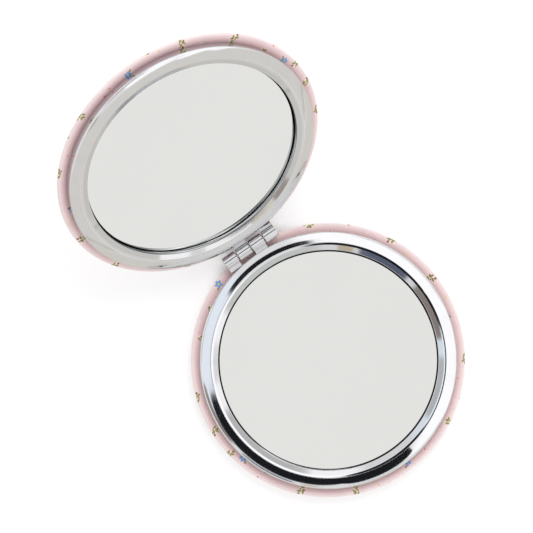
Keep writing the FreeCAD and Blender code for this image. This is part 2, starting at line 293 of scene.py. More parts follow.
def dimmed(shown, factor):
    """A screen colour darkened by a factor, as scene-linear RGBA."""
    return linear([c * factor for c in shown])


def glowing(shown, strength):
    """A screen colour as scene-linear RGBA, with its light times a strength."""
    return (*(c * strength for c in linear(shown)[:3]), 1.0)


def half_place(half):
    """Placement of a half.

    The lid is the base turned half round at the hinge, then raised from flat to its opening.
    """
    if half == "base":
        return Matrix.Identity(4)
    at_hinge = Matrix.Translation(HINGE)
    raised = Matrix.Rotation(math.pi - OPENING, 4, "X")
    turned = Matrix.Rotation(math.pi, 4, "Z")
    return at_hinge @ raised @ turned @ at_hinge.inverted()


# Surfaces


def arc(centre, radius, start, end, count):
    """Points (x, y) = centre + radius (cos a, sin a), for angles a from start to end."""
    a = np.linspace(start, end, count)
    return np.stack([centre[0] + radius * np.cos(a), centre[1] + radius * np.sin(a)], 1)


def run(start, end, count):
    """Points along a straight line, without its last one."""
    t = np.linspace(0, 1, count, endpoint=False)[:, None]
    return np.array(start) * (1 - t) + np.array(end) * t


class CoverShape:
    """Where a cover's flat back, its side and the fold of its lip meet, as (radius, height).

    The side is a straight slope that touches a rounding at each end. With n = (sin s, -cos s) its outward
    normal, both roundings' centres c and radii f give the same reach c.n + f. The rounding at the back has
    its centre over the end of the flat, at height f, so the flat's radius is (reach - f + f cos s) / sin s.
    """

    def __init__(self, cover):
        self.slope = cover.side_slope
        self.out, self.down = math.sin(self.slope), math.cos(self.slope)
        self.fold = cover.lip_round
        self.fold_at = (COVER_RADIUS - self.fold, LIP_HEIGHT - self.fold)
        self.reach = self.fold_at[0] * self.out - self.fold_at[1] * self.down + self.fold
        self.round = cover.back_round
        self.flat = (self.reach - self.round + self.round * self.down) / self.out

    def inner_radius(self, height, thickness):
        """Radius at a height of the surface that lies a thickness inside the side."""
        return (self.reach - thickness + height * self.down) / self.out


def cover_section(cover):
    """Half section of a cover, rows of (radius, height), from its back round the lip and along its inside.

    Flat back, rounding, sloped side, fold, front of the lip with a valley -v exp(-((r - frame) / w)^2) beside
    the frame, tucked edge, then the lip's inner face, the side less the leather's thickness, and the inner
    flat. Each arc and run ends with its number of points.
    """
    shape = CoverShape(cover)
    thick = cover.leather_thickness
    tuck = FRAME_RADIUS - cover.tuck
    under = LIP_HEIGHT - thick
    low, side = -math.pi / 2, shape.slope - math.pi / 2
    outer = arc((shape.flat, shape.round), shape.round, low, side, 10)
    inner = arc((shape.flat, shape.round), shape.round - thick, side, low, 8)
    fold = arc(shape.fold_at, shape.fold, side, math.pi / 2, 18)
    front = run((shape.fold_at[0], LIP_HEIGHT), (tuck, LIP_HEIGHT), 26)
    front[:, 1] -= cover.lip_valley * np.exp(-(((front[:, 0] - FRAME_RADIUS) / VALLEY_WIDTH) ** 2))
    return np.concatenate(
        [
            run((POLE_RING, 0), (shape.flat, 0), 44),
            outer[:-1],
            run(outer[-1], fold[0], 14),
            fold[:-1],
            front,
            run((tuck, LIP_HEIGHT - TUCK_STEP), (tuck, under), 3),
            run((tuck, under), (shape.inner_radius(under, thick), under), 6),
            run((shape.inner_radius(under, thick), under), inner[0], 8),
            inner[:-1],
            run((shape.flat, thick), (0, thick), 12),
        ]
    )


def pad_section(cover):
    """Half section of a foam pad: flat back on the leather, inner rounding, side up to its top, flat top."""
    shape = CoverShape(cover)
    inset = cover.leather_thickness + PAD_CLEARANCE
    top = PAD_TOP - PAD_CLEARANCE
    low, side = -math.pi / 2, shape.slope - math.pi / 2
    bend = arc((shape.flat, shape.round), shape.round - inset, low, side, 8)
    edge = (shape.inner_radius(top, inset), top)
    return np.concatenate(
        [
            run((POLE_RING, inset), (shape.flat, inset), 24),
            bend[:-1],
            run(bend[-1], edge, 5),
            run(edge, (0, top), 18),
        ]
    )


def gathers(angle, seed):
    """Waves round the ring: the sum of cos(k a + p), scaled to 1 at most.

    k runs from the lowest to the highest number of waves, and the phases p are drawn from the seed.
    """
    low, high = GATHERS_WAVES
    phases = np.random.default_rng(seed).uniform(0, TAU, high - low)
    counts = np.arange(low, high)
    waves = np.cos(np.outer(angle, counts) + phases).sum(1)
    return waves / np.abs(waves).max()


def turned_mesh(name, section, columns, swell, place):
    """Surface of revolution of a half section, closed at both poles and moved out along its normals.

    Point (i, j) is (r_j cos t_i, r_j sin t_i, h_j), with swell(t)_ij times the section's normal added. The
    map "sheet" lays the same grid out flat: distance along the section from the back's middle, in direction
    t_i.
    """
    angle = np.arange(columns) * TAU / columns
    along = np.gradient(section, axis=0)
    along /= np.linalg.norm(along, axis=1, keepdims=True)
    offset = swell(angle)
    radius = section[:, 0] + offset * along[:, 1]
    height = section[:, 1] - offset * along[:, 0]
    grid = np.stack([radius * np.cos(angle)[:, None], radius * np.sin(angle)[:, None], height], 2)
    poles = np.array([[0, 0, height[:, 0].mean()], [0, 0, height[:, -1].mean()]])
    points = np.concatenate([grid.reshape(-1, 3), poles])
    rotated = np.array(place.to_3x3())
    points = points @ rotated.T + np.array(place.translation)

    rows = len(section)
    first = np.arange(columns) * rows
    after = np.roll(first, -1)
    j = np.arange(rows - 1)
    quads = np.stack(
        [first[:, None] + j, after[:, None] + j, after[:, None] + j + 1, first[:, None] + j + 1], 2
    ).reshape(-1, 4)
    back_fan = np.stack([np.full(columns, columns * rows), after, first], 1)
    inner_fan = np.stack([np.full(columns, columns * rows + 1), first + rows - 1, after + rows - 1], 1)
    mesh = bpy.data.meshes.new(name)
    mesh.from_pydata(points.tolist(), [], quads.tolist() + back_fan.tolist() + inner_fan.tolist())
    mesh.polygons.foreach_set("use_smooth", np.ones(len(mesh.polygons), bool))

    step = np.linalg.norm(np.diff(section, axis=0, prepend=[[0, section[0, 1]]]), axis=1)
    spread = np.cumsum(step)
    flat = np.stack([spread * np.cos(angle)[:, None], spread * np.sin(angle)[:, None]], 2).reshape(-1, 2)
    flat = np.concatenate([flat, [[0, 0], [spread[-1], 0]]]) / SHEET_SIZE + 0.5
    corners = np.empty(len(mesh.loops), np.int32)
    mesh.loops.foreach_get("vertex_index", corners)
    layer = mesh.uv_layers.new(name="sheet")
    layer.uv.foreach_set("vector", flat[corners].astype(np.float32).ravel())
    mesh.update()
    piece = bpy.data.objects.new(name, mesh)
    bpy.context.scene.collection.objects.link(piece)
    return piece


def set_finish(piece, material):
    """Gives a piece one material on all its faces."""
    piece.data.materials.clear()
    piece.data.materials.append(material)


# Shader nodes


class Wiring:
    """Adds nodes to one tree and joins them. An input is a socket or a plain value."""

    def __init__(self, tree):
        self.tree = tree

    def feed(self, socket, value):
        if isinstance(value, bpy.types.NodeSocket):
            self.tree.links.new(value, socket)
        else:
            socket.default_value = value

    def node(self, kind, inputs=None, **settings):
        made = self.tree.nodes.new(kind)
        for name, value in settings.items():
            setattr(made, name, value)
        for key, value in (inputs or {}).items():
            self.feed(made.inputs[key], value)
        return made

    def math(self, operation, *values, clamp=False):
        made = self.node("ShaderNodeMath", dict(enumerate(values)), operation=operation, use_clamp=clamp)
        return made.outputs[0]

    def vector(self, operation, *values):
        made = self.node("ShaderNodeVectorMath", operation=operation)
        for socket, value in zip(made.inputs, values):
            self.feed(socket, value)
        lone = operation in {"LENGTH", "DISTANCE", "DOT_PRODUCT"}
        return made.outputs["Value" if lone else "Vector"]

    def scaled(self, vector, factor):
        made = self.node("ShaderNodeVectorMath", {0: vector, "Scale": factor}, operation="SCALE")
        return made.outputs["Vector"]

    def turned(self, vector, angle):
        made = self.node("ShaderNodeVectorRotate", {"Vector": vector, "Angle": angle}, rotation_type="Z_AXIS")
        return made.outputs["Vector"]

    def mix(self, factor, under, over):
        made = self.node("ShaderNodeMix", {0: factor, 6: under, 7: over}, data_type="RGBA")
        return made.outputs[2]

    def blend(self, value, low, high, start=0.0, end=1.0):
        inputs = {"Value": value, "From Min": low, "From Max": high, "To Min": start, "To Max": end}
        made = self.node("ShaderNodeMapRange", inputs, interpolation_type="SMOOTHSTEP")
        return made.outputs["Result"]

    def noise(self, vector, scale, detail=2.0, rough=0.5):
        inputs = {"Vector": vector, "Scale": scale, "Detail": detail, "Roughness": rough}
        return self.node("ShaderNodeTexNoise", inputs).outputs["Fac"]

    def split(self, vector):
        made = self.node("ShaderNodeSeparateXYZ", {0: vector})
        return made.outputs[0], made.outputs[1], made.outputs[2]

    def join(self, x, y, z):
        return self.node("ShaderNodeCombineXYZ", {0: x, 1: y, 2: z}).outputs[0]

    def group(self, tree, **inputs):
        made = self.node("ShaderNodeGroup", node_tree=tree)
        for title, value in inputs.items():
            self.feed(made.inputs[title], value)
        return made.outputs


def new_group(name, inputs, outputs):
    """A shader group with named sockets, its wiring, its inputs by name and its output node."""
    tree = bpy.data.node_groups.new(name, "ShaderNodeTree")
    for title, kind in inputs.items():
        tree.interface.new_socket(title, in_out="INPUT", socket_type=f"NodeSocket{kind}")
    for title, kind in outputs.items():
        tree.interface.new_socket(title, in_out="OUTPUT", socket_type=f"NodeSocket{kind}")
    wiring = Wiring(tree)
    return tree, wiring, wiring.node("NodeGroupInput").outputs, wiring.node("NodeGroupOutput").inputs


def mottle_group():
    """Cloudy variation of a surface: two sizes of noise, and their fine grain as a height."""
    tree, w, given, out = new_group(
        "mottle", {"Vector": "Vector", "Size": "Float"}, {"Cloud": "Float", "Grain": "Float"}
    )
    scale = w.math("DIVIDE", 1.0, given["Size"])
    clouds = w.noise(given["Vector"], scale, 3.0, 0.6)
    w.feed(out["Cloud"], w.blend(clouds, 0.3, 0.7))
    w.feed(out["Grain"], w.noise(given["Vector"], w.math("MULTIPLY", scale, 9.0), 2.0, 0.55))
    return tree


def polish_group():
    """Polishing lines round a ring and straight scratches, as a height and a mask of dulled places.

    Noise is read at (radius, angle, height) with the angle stretched, so its cells become long lines round
    the axis.
    """
    tree, w, given, out = new_group(
        "polish", {"Vector": "Vector", "Pitch": "Float"}, {"Lines": "Float", "Dull": "Float"}
    )
    x, y, z = w.split(given["Vector"])
    radius = w.math("SQRT", w.math("ADD", w.math("MULTIPLY", x, x), w.math("MULTIPLY", y, y)))
    angle = w.math("ARCTAN2", y, x)
    fine = w.math("DIVIDE", 1.0, given["Pitch"])
    outward = w.math("MULTIPLY", radius, fine)
    around = w.join(outward, w.math("MULTIPLY", angle, 2.0), w.math("MULTIPLY", z, fine))
    w.feed(out["Lines"], w.noise(around, 1.0, 2.0, 0.6))
    cross = w.vector("MULTIPLY", w.turned(given["Vector"], 0.6), (3000.0, 60.0, 400.0))
    scratch = w.blend(w.noise(cross, 1.0, 3.0, 0.55), 0.66, 0.74)
    cloud = w.blend(w.noise(given["Vector"], 220.0, 3.0, 0.6), 0.45, 0.75)
    marks = w.math("MULTIPLY", scratch, 0.6)
    w.feed(out["Dull"], w.math("ADD", marks, w.math("MULTIPLY", cloud, 0.4), clamp=True))
    return tree


def grain_group():
    """Pebbled leather grain: cell borders of two sizes sink, and the pebbles between them stand up."""
    tree, w, given, out = new_group(
        "leather grain", {"Vector": "Vector", "Size": "Float"}, {"Height": "Float", "Crease": "Float"}
    )
    scale = w.math("DIVIDE", 1.0, given["Size"])
    loose = w.node("ShaderNodeTexNoise", {"Vector": given["Vector"], "Scale": w.math("MULTIPLY", scale, 0.6)})
    drift = w.scaled(loose.outputs["Color"], w.math("MULTIPLY", given["Size"], 0.8))
    bent = w.vector("ADD", given["Vector"], drift)
    border = w.node("ShaderNodeTexVoronoi", {"Vector": bent, "Scale": scale}, feature="DISTANCE_TO_EDGE")
    pebble = w.blend(border.outputs["Distance"], 0.0, 0.28)
    pores = w.noise(given["Vector"], w.math("MULTIPLY", scale, 3.0), 2.0, 0.6)
    w.feed(out["Height"], w.math("ADD", w.math("MULTIPLY", pebble, 0.8), w.math("MULTIPLY", pores, 0.35)))
    w.feed(out["Crease"], w.math("SUBTRACT", 1.0, pebble))
    return tree


def print_group(cover):
    """A small scattered print: leafy sprigs with berries, some blossoms, and dots between them.

    Each cell of a loose Voronoi pattern holds one motif, turned by a number of its own and drawn in
    millimetres. A leaf is an ellipse, a blossom is r < a + b cos 5t, and a berry or dot is a disc.
    """
    tree, w, given, out = new_group(
        "sprig print",
        {"Vector": "Vector", "Ground": "Color", "Spacing": "Float"},
        {"Color": "Color", "Ink": "Float"},
    )
    ink = {name: linear(getattr(cover, name)) for name in ("leaf", "berry", "halo", "petal", "heart", "dot")}
    scale = w.math("DIVIDE", 1.0, given["Spacing"])
    soft = 0.06

    def cells(vector, factor, loose):
        made = w.node(
            "ShaderNodeTexVoronoi",
            {"Vector": vector, "Scale": w.math("MULTIPLY", scale, factor), "Randomness": loose},
            voronoi_dimensions="2D",
        )
        pick = w.node("ShaderNodeSeparateColor", {0: made.outputs["Color"]}).outputs
        local = w.scaled(w.vector("SUBTRACT", vector, made.outputs["Position"]), MM_PER_METRE)
        return w.turned(local, w.math("MULTIPLY", pick[0], TAU)), pick

    def spot(at, centre, radius):
        away = w.vector("DISTANCE", at, (*centre, 0.0))
        return w.blend(away, radius + soft, radius - soft)

    def leaf(at, centre, lean, long, wide):
        near = w.turned(w.vector("SUBTRACT", at, (*centre, 0.0)), -lean)
        away = w.vector("LENGTH", w.vector("MULTIPLY", near, (1 / long, 1 / wide, 0.0)))
        return w.blend(away, 1.12, 0.88)

    def either(*masks):
        total = masks[0]
        for mask in masks[1:]:
            total = w.math("MAXIMUM", total, mask)
        return total

    at, pick = cells(given["Vector"], 1.0, 0.6)
    edge = w.noise(given["Vector"], 900.0, 2.0)
    wobble = w.vector("ADD", at, w.scaled(w.join(edge, edge, 0.0), 0.12))
    is_bloom = w.math("GREATER_THAN", pick[1], 0.7)
    is_sprig = w.math("SUBTRACT", 1.0, is_bloom)

    leaves = either(
        leaf(wobble, (0.75, 0.42), 0.6, 0.62, 0.27),
        leaf(wobble, (0.05, -0.46), -0.7, 0.66, 0.28),
        leaf(wobble, (-0.75, 0.38), 0.5, 0.6, 0.26),
        leaf(wobble, (0.1, 0.0), 0.06, 1.25, 0.08),
    )
    berries = either(
        spot(wobble, (1.3, -0.12), 0.33),
        spot(wobble, (-0.5, -0.5), 0.26),
        spot(wobble, (0.1, 0.55), 0.22),
    )
    pale = w.blend(w.vector("LENGTH", w.vector("MULTIPLY", wobble, (0.55, 0.95, 0.0))), 1.05, 0.6)

    x, y, _ = w.split(wobble)
    radius = w.vector("LENGTH", w.vector("MULTIPLY", wobble, (1.0, 1.0, 0.0)))
    lobes = w.math("COSINE", w.math("MULTIPLY", w.math("ARCTAN2", y, x), 5.0))
    reach = w.math("MULTIPLY_ADD", lobes, 0.24, 0.92)
    petals = w.blend(w.math("SUBTRACT", reach, radius), -soft, soft)
    heart = w.blend(radius, 0.36, 0.26)
    spray = leaf(wobble, (1.25, 0.5), 0.5, 0.5, 0.24)

    leaf_tint = w.mix(pick[2], ink["leaf"], dimmed(cover.leaf, 0.78))
    bloom_tint = w.mix(w.math("GREATER_THAN", pick[2], 0.78), ink["petal"], ink["dot"])
    dot_at, dot_pick = cells(w.vector("ADD", given["Vector"], DOT_SHIFT), 2.1, 0.9)
    clear = w.blend(w.vector("LENGTH", w.vector("MULTIPLY", at, (1.0, 1.0, 0.0))), 1.9, 2.2)
    dots = w.math("MULTIPLY", spot(dot_at, (0.0, 0.0), 0.24), w.math("GREATER_THAN", dot_pick[1], 0.55))
    dots = w.math("MULTIPLY", dots, clear)
    dot_tint = w.mix(w.math("GREATER_THAN", dot_pick[2], 0.7), ink["dot"], ink["heart"])

    shown = w.mix(w.math("MULTIPLY", w.math("MULTIPLY", pale, is_sprig), 0.7), given["Ground"], ink["halo"])
    shown = w.mix(dots, shown, dot_tint)
    layers = [
        (w.math("MULTIPLY", leaves, is_sprig), leaf_tint),
        (w.math("MULTIPLY", berries, is_sprig), ink["berry"]),
        (w.math("MULTIPLY", spray, is_bloom), leaf_tint),
        (w.math("MULTIPLY", petals, is_bloom), bloom_tint),
        (w.math("MULTIPLY", heart, is_bloom), ink["heart"]),
    ]
    for mask, tint in layers:
        shown = w.mix(w.math("MULTIPLY", mask, 0.92), shown, tint)
    w.feed(out["Color"], shown)
    w.feed(out["Ink"], either(dots, *[mask for mask, _ in layers]))
    return tree


def bare_material(name):
    """An empty material and its wiring."""
    material = bpy.data.materials.new(name)
    material.use_nodes = True
    material.node_tree.nodes.clear()
    return material, Wiring(material.node_tree)


def new_material(name):
    """A material with a Principled BSDF, its wiring, the shader's inputs and the tree's coordinates."""
    material, w = bare_material(name)
    shader = w.node("ShaderNodeBsdfPrincipled")
    w.node("ShaderNodeOutputMaterial", {"Surface": shader.outputs[0]})
    return material, w, shader.inputs, w.node("ShaderNodeTexCoord").outputs


def in_half(w, vector, half):
    """Object coordinates turned back into the half's own frame."""
    place = half_place(half)
    made = w.node("ShaderNodeMapping", {"Vector": vector}, vector_type="TEXTURE")
    made.inputs["Location"].default_value = place.translation
    made.inputs["Rotation"].default_value = place.to_euler()
    return made.outputs[0]


def bump(w, shader, height, depth, strength):
    """Raises the shader's surface by a height from 0 to 1, times a depth."""
    made = w.node("ShaderNodeBump", {"Strength": strength, "Distance": depth, "Height": height})
    w.feed(shader["Normal"], made.outputs[0])


def leather_finish(cover, grain, mottle, fold):
    """Printed leatherette: ground and print on the sheet's own map, pebbled grain, the fold worn pale with a
    painted highlight there, and painted shade on the leather beside the frame.

    The fold is given as its distance along the sheet from the middle of the back.
    """
    material, w, shader, given = new_material("printed_leather")
    corner = (-SHEET_SIZE / 2, -SHEET_SIZE / 2, 0)
    sheet = w.node(
        "ShaderNodeMapping", {"Vector": given["UV"], "Location": corner, "Scale": (SHEET_SIZE,) * 3}
    ).outputs[0]
    cloud = w.group(mottle, Vector=sheet, Size=0.006)
    pebbles = w.group(grain, Vector=sheet, Size=cover.grain_size)
    deep = linear([c * f for c, f in zip(cover.leather, (0.97, 0.94, 0.95))])
    ground = w.mix(w.math("MULTIPLY", cloud["Cloud"], 0.6), linear(cover.leather), deep)

    lip = COVER_RADIUS - FRAME_RADIUS
    past_fold = w.math("SUBTRACT", w.vector("LENGTH", sheet), fold)
    to_fold = w.math("ABSOLUTE", past_fold)
    # Painted shade: from half the lip's width past the fold on to the frame, the ground turns to the tucked
    # colour.
    shade = w.math("MULTIPLY_ADD", cloud["Grain"], 0.4, 0.5)
    beside = w.math("MULTIPLY", w.blend(past_fold, lip * 0.5, lip), shade)
    # Along the fold the ground turns pale: partly wear, partly a painted highlight.
    worn = w.math("MULTIPLY_ADD", cloud["Grain"], 0.5, 0.4)
    wear_and_highlight = w.math("MULTIPLY", w.blend(to_fold, WEAR_HIGHLIGHT_REACH, 0.0), worn)
    ground = w.mix(wear_and_highlight, w.mix(beside, ground, linear(cover.tucked)), linear(cover.worn_highlight))

    shifted = w.vector("ADD", sheet, PRINT_SHIFT)
    printed = w.group(print_group(cover), Vector=shifted, Ground=ground, Spacing=cover.print_spacing)
    crease = w.math("MULTIPLY", pebbles["Crease"], 0.08)
    w.feed(shader["Base Color"], w.mix(crease, printed["Color"], linear(cover.crease)))
    dull = w.math("MULTIPLY_ADD", cloud["Cloud"], 0.1, 0.44)
    w.feed(shader["Roughness"], w.math("SUBTRACT", dull, w.math("MULTIPLY", printed["Ink"], 0.06)))
    shader["Specular IOR Level"].default_value = 0.4
    bump(w, shader, w.math("ADD", pebbles["Height"], w.math("MULTIPLY", cloud["Grain"], 0.2)), 0.00005, 0.5)
    return material


def chrome_finish(metal, polish, half):
    """Polished chrome on a casting: lines round the ring, lengthwise lines on the knuckles, dulled places.

    On the hinge's side the wall of the recess has a painted reflection: dark along its edges and ends, with
    painted bright streaks.
    """
    material, w, shader, given = new_material(f"chrome_{half}")
    at = in_half(w, given["Object"], half)
    x, y, z = w.split(at)
    radius = w.vector("LENGTH", w.join(x, y, 0.0))
    toward = w.math("DIVIDE", y, radius)
    lines = w.group(polish, Vector=at, Pitch=0.00012)

    # Masks of the frame's forms
    to_pin = w.join(0.0, w.math("SUBTRACT", y, HINGE.y), w.math("SUBTRACT", z, HINGE.z))
    barrel = w.blend(w.vector("LENGTH", to_pin), BARREL_RADIUS + 0.0004, BARREL_RADIUS)
    recess = w.blend(radius, WELL_RADIUS + 0.00008, WELL_RADIUS + 0.00001)
    bevel = w.blend(radius, BEVEL_END, BEVEL_END - 0.0001)
    from_wall = w.math("ABSOLUTE", w.math("SUBTRACT", radius, FRAME_RADIUS))
    below = w.blend(z, HINGE.z, HINGE.z - 0.0004)
    side = w.math("MULTIPLY", w.blend(from_wall, 0.00004, 0.00002), below)

    # The wall of the recess: a painted dark reflection with painted bright streaks
    around = w.join(w.math("MULTIPLY", w.math("ARCTAN2", y, x), 2.2), w.math("MULTIPLY", z, 2600.0), 0.0)
    streaks = w.blend(w.noise(around, 1.0, 2.0, 0.6), 0.4, 0.62)
    level = w.math("DIVIDE", w.math("SUBTRACT", z, GLASS_HEIGHT), RECESS_DEPTH)
    middle = w.math("MULTIPLY", w.blend(level, 0.03, 0.1), w.blend(level, 0.97, 0.8))
    bright = w.math("MULTIPLY_ADD", streaks, 0.75, 0.25)
    streaky = w.math("MULTIPLY", w.blend(toward, 0.2, 0.75, 0.1, 1.0), bright)
    bright_reflection = w.math("MAXIMUM", w.math("MULTIPLY", middle, streaky), w.blend(toward, -0.1, -0.4))
    wall = w.mix(bright_reflection, linear(metal.recess), linear(metal.painted_reflection))

    worn = w.math("MULTIPLY", lines["Dull"], metal.wear)
    ring = w.mix(worn, linear(metal.chrome), dimmed(metal.chrome, 0.93))
    # The bevel's chrome is dimmed a little: painted shade.
    ring = w.mix(bevel, ring, dimmed(metal.chrome, 0.95))
    # The outer walls' chrome is dimmed: painted shade that darkens their reflection of the lip.
    ring = w.mix(side, ring, linear(metal.side))
    w.feed(shader["Base Color"], w.mix(recess, ring, wall))
    shader["Metallic"].default_value = 1.0

    rough = w.math("MULTIPLY_ADD", lines["Dull"], 0.1 * metal.wear, metal.haze)
    rough_wall = w.math("MULTIPLY", recess, w.blend(toward, -0.4, -0.1))
    rough = w.math("MULTIPLY_ADD", rough_wall, 0.2, rough)
    w.feed(shader["Roughness"], w.math("MULTIPLY_ADD", barrel, 0.02, rough))

    drawn = w.noise(w.vector("MULTIPLY", at, (40.0, 3400.0, 3400.0)), 1.0, 1.0, 0.5)
    rings = w.math("MULTIPLY", lines["Lines"], 0.06)
    height = w.math("ADD", rings, w.math("MULTIPLY", w.math("MULTIPLY", drawn, barrel), 1.6))
    bump(w, shader, height, 0.00002, 0.3 * metal.wear)
    return material


def mirror_finish(metal, mottle, half):
    """Silvered glass: even silver with faintly wiped places, perfectly sharp but for its dull ground edge.

    The ground edge is partly painted shade of the gap round the glass.
    """
    material, w, shader, given = new_material(f"mirror_glass_{half}")
    at = in_half(w, given["Object"], half)
    wiped = w.vector("MULTIPLY", w.turned(at, 0.5), (1.0, 0.35, 1.0))
    cloud = w.group(mottle, Vector=wiped, Size=0.012)
    radius = w.vector("DISTANCE", w.vector("MULTIPLY", at, (1.0, 1.0, 0.0)), EDGE_MIDDLE)
    # The ground edge, partly painted shade of the gap round the glass, wider on one side.
    edge = w.blend(radius, GLASS_RADIUS - EDGE_START, GLASS_RADIUS - EDGE_FULL)
    faint = w.math("MULTIPLY", cloud["Cloud"], 0.25)
    silver = w.mix(faint, linear(metal.mirror), dimmed(metal.mirror, 0.99))
    w.feed(shader["Base Color"], w.mix(edge, silver, linear(metal.ground)))
    shader["Metallic"].default_value = 1.0
    w.feed(shader["Roughness"], w.math("MULTIPLY", edge, metal.ground_haze))
    bump(w, shader, cloud["Grain"], 0.000001, 0.02)
    return material


def pin_finish(metal, mottle):
    """Drawn steel wire: lines along the pin and faint mottling."""
    material, w, shader, given = new_material("pin_steel")
    drawn = w.noise(w.vector("MULTIPLY", given["Object"], (80.0, 9000.0, 9000.0)), 1.0, 3.0, 0.6)
    cloud = w.group(mottle, Vector=given["Object"], Size=0.0015)
    w.feed(shader["Base Color"], w.mix(cloud["Cloud"], linear(metal.pin), dimmed(metal.pin, 0.85)))
    shader["Metallic"].default_value = 1.0
    w.feed(shader["Roughness"], w.math("MULTIPLY_ADD", drawn, 0.2, 0.18))
    bump(w, shader, drawn, 0.00002, 0.3)
    return material


def layer_finish(name, shown, mottle, size, rough, depth, metallic=0.0):
    """A hidden layer's finish: mottled colour, roughness and grain of the given size."""
    material, w, shader, given = new_material(name)
    cloud = w.group(mottle, Vector=given["Object"], Size=size)
    w.feed(shader["Base Color"], w.mix(cloud["Cloud"], linear(shown), dimmed(shown, 0.9)))
    shader["Metallic"].default_value = metallic
    w.feed(shader["Roughness"], w.math("MULTIPLY_ADD", cloud["Grain"], 0.2, rough - 0.1))
    bump(w, shader, cloud["Grain"], depth, 0.6)
    return material


def shared(name, make):
    """A node group, built once."""
    return bpy.data.node_groups.get(name) or make()


class COMPACT_OT_covers(bpy.types.Operator):
    """Build the two padded leather covers in place of their plain solids"""

    bl_idname = "compact.covers"
    bl_label = "Covers"

    def execute(self, context):
        cover = context.scene.compact_covers
        section = cover_section(cover)
        spread = np.cumsum(np.linalg.norm(np.diff(section, axis=0, prepend=section[:1]), axis=1))
        fold = float(spread[np.argmax(section[:, 0])])
        grain = shared("leather grain", grain_group)
        finish = leather_finish(cover, grain, shared("mottle", mottle_group), fold)
        foot = CoverShape(cover).flat
        front = (section[:, 1] > LIP_HEIGHT - FRONT_DEPTH) & (section[:, 0] > FRAME_RADIUS)
        off_gathers = section[:, 0] - FRAME_RADIUS - GATHERS_AT
        lip = np.exp(-((off_gathers / GATHERS_WIDTH) ** 2)) * front
        back = np.clip(1 - (spread / foot) ** 2, 0, 1) ** 2 * (spread < foot)
        for number, half in enumerate(HALVES):
            crown = cover.crown if half == "lid" else 0.0

            # The back swells by crown (1 - (s / foot)^2)^2 at s from its middle, and the lip sinks in waves.
            def swell(angle, crown=crown, number=number):
                folds = gathers(angle, GATHERS_SEED + number)[:, None]
                return crown * back - cover.pucker * lip * (0.5 + 0.5 * folds)

            piece = turned_mesh(f"{half}_cover", section, COVER_COLUMNS, swell, half_place(half))
            set_finish(piece, finish)
            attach(piece, half)
            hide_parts(f"{half}_leather")
        return {"FINISHED"}


class COMPACT_OT_padding(bpy.types.Operator):
    """Build the two foam pads under the leather in place of their plain solids"""

    bl_idname = "compact.padding"
    bl_label = "Padding"

    def execute(self, context):
        cover = context.scene.compact_covers
        layers = context.scene.compact_layers
        finish = layer_finish("foam", layers.foam, shared("mottle", mottle_group), 0.0012, 0.85, 0.0001)
        section = pad_section(cover)

        def swell(angle):
            return np.zeros((len(angle), len(section)))

        for half in HALVES:
            piece = turned_mesh(f"{half}_padding", section, PAD_COLUMNS, swell, half_place(half))
            set_finish(piece, finish)
            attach(piece, half)
            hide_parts(f"{half}_foam")
        return {"FINISHED"}


class COMPACT_OT_frames(bpy.types.Operator):
    """Finish the two frames in polished chrome"""

    bl_idname = "compact.frames"
    bl_label = "Frames"

    def execute(self, context):
        polish = shared("polish", polish_group)
        for half in HALVES:
            finish = chrome_finish(context.scene.compact_metal, polish, half)
            set_finish(frame["nodes"][f"{half}_frame"], finish)
        return {"FINISHED"}


class COMPACT_OT_mirrors(bpy.types.Operator):
    """Finish the two mirrors in silvered glass"""

    bl_idname = "compact.mirrors"
    bl_label = "Mirrors"

    def execute(self, context):
        metal = context.scene.compact_metal
        mottle = shared("mottle", mottle_group)
        for half in HALVES:
            set_finish(frame["nodes"][f"{half}_mirror"], mirror_finish(metal, mottle, half))
        return {"FINISHED"}


class COMPACT_OT_hinge_pin(bpy.types.Operator):
    """Finish the hinge pin in drawn steel"""

    bl_idname = "compact.hinge_pin"
    bl_label = "Hinge pin"

    def execute(self, context):
        finish = pin_finish(context.scene.compact_metal, shared("mottle", mottle_group))
        set_finish(frame["nodes"]["hinge_pin"], finish)
        return {"FINISHED"}


class COMPACT_OT_layers(bpy.types.Operator):
    """Finish the layers between frames and covers: shells, tapes, bond rings and magnets"""

    bl_idname = "compact.layers"
    bl_label = "Inner layers"

    def execute(self, context):
        layers = context.scene.compact_layers
        mottle = shared("mottle", mottle_group)
        finishes = {
            "shell": layer_finish("shell_plastic", layers.shell, mottle, 0.003, 0.6, 0.00003),
            "mirror_tape": layer_finish("adhesive_tape", layers.adhesive, mottle, 0.002, 0.5, 0.00003),
            "bond_ring": layer_finish("adhesive_bond", layers.adhesive, mottle, 0.004, 0.4, 0.00002),
            "magnet": layer_finish("magnet", layers.magnet, mottle, 0.0008, 0.32, 0.00002, 1.0),
        }
        for half in HALVES:
            for piece, finish in finishes.items():
                set_finish(frame["nodes"][f"{half}_{piece}"], finish)
        return {"FINISHED"}


def overhead_axes(stage):
    """Turn of the frame in which the studio hangs.

    Its pole is where the lying mirror throws the camera's view. X is the picture's right and Y its bottom, so
    that a heading there is an angle as the picture shows it.
    """
    x, y, z = stage.camera_place
    pole = Vector((-x, -y, z)).normalized()
    right = Euler(stage.camera_turn).to_matrix().col[0]
    right = (right - pole * right.dot(pole)).normalized()
    return Matrix((right, pole.cross(right) * -1, pole * -1)).transposed().to_euler()


def seen_rays(w, path):
    """Mask of the rays that show a thing: from the camera, in a reflection or through glass."""
    seen = w.math("MAXIMUM", path["Is Camera Ray"], path["Is Glossy Ray"])
    return w.math("MAXIMUM", seen, path["Is Transmission Ray"])


